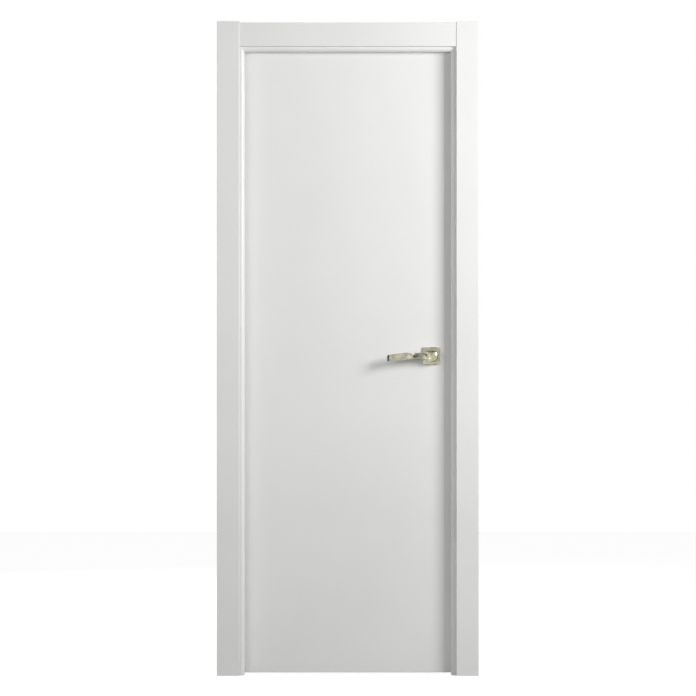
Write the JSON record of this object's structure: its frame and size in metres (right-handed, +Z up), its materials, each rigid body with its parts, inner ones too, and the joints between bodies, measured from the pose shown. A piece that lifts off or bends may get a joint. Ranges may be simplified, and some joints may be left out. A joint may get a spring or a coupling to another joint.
{
  "type": "interior door",
  "caption": "White flush interior door hung in a lined opening with flat casings and a twisted satin brass lever handle.",
  "frame": {"origin": "outer face of the hinge jamb, at mid depth of the lining and at finished floor level", "axes": "+X from the hinge side to the lock side, -Y towards the side shown in the picture, +Z up"},
  "size_m": [0.847, 0.1562, 2.1185],
  "materials": {
    "white_lacquer_leaf": "satin lacquer on wood fibre board",
    "white_lacquer_frame": "satin lacquer on wood fibre board",
    "core_board": "raw",
    "satin_brass": "satin",
    "satin_steel": "satin",
    "latch_steel": "plain",
    "seal_rubber": "matte"
  },
  "bodies": {
    "frame": {"hinge_jamb": "white_lacquer_frame", "lock_jamb": "white_lacquer_frame", "head_jamb": "white_lacquer_frame", "hinge_stop": "white_lacquer_frame", "lock_stop": "white_lacquer_frame", "head_stop": "white_lacquer_frame", "hinge_side_seal": "seal_rubber", "lock_side_seal": "seal_rubber", "head_seal": "seal_rubber", "front_casing_left": "white_lacquer_frame", "front_casing_right": "white_lacquer_frame", "front_casing_head": "white_lacquer_frame", "back_casing_left": "white_lacquer_frame", "back_casing_right": "white_lacquer_frame", "back_casing_head": "white_lacquer_frame", "strike_plate": "satin_steel", "frame_hinge_flap_top": "satin_steel", "frame_hinge_flap_middle": "satin_steel", "frame_hinge_flap_bottom": "satin_steel", "hinge_pin_top": "satin_steel", "hinge_pin_middle": "satin_steel", "hinge_pin_bottom": "satin_steel"},
    "leaf": {"leaf_front_skin": "white_lacquer_leaf", "leaf_back_skin": "white_lacquer_leaf", "hinge_stile": "white_lacquer_leaf", "lock_stile": "white_lacquer_leaf", "top_rail": "white_lacquer_leaf", "bottom_rail": "white_lacquer_leaf", "leaf_core": "core_board", "leaf_hinge_flap_top": "satin_steel", "leaf_hinge_flap_middle": "satin_steel", "leaf_hinge_flap_bottom": "satin_steel", "latch_faceplate": "satin_steel", "latch_case": "latch_steel", "latch_bolt": "latch_steel", "front_rose": "satin_brass", "back_rose": "satin_brass"},
    "handle": {"front_lever": "satin_brass", "back_lever": "satin_brass", "spindle": "latch_steel"}
  },
  "joints": [
    {"name": "leaf_hinge", "type": "hinge", "parent": "frame", "child": "leaf", "pos_m": [0.0275, 0.042, 1], "axis": [0, 0, 1], "range_deg": [0, 110]},
    {"name": "handle_turn", "type": "hinge", "parent": "leaf", "child": "handle", "pos_m": [0.652, 0.0175, 1.036], "axis": [0, -1, 0], "range_deg": [0, 45], "stiffness_Nm_per_rad": 1, "springref_deg": -28.65}
  ]
}
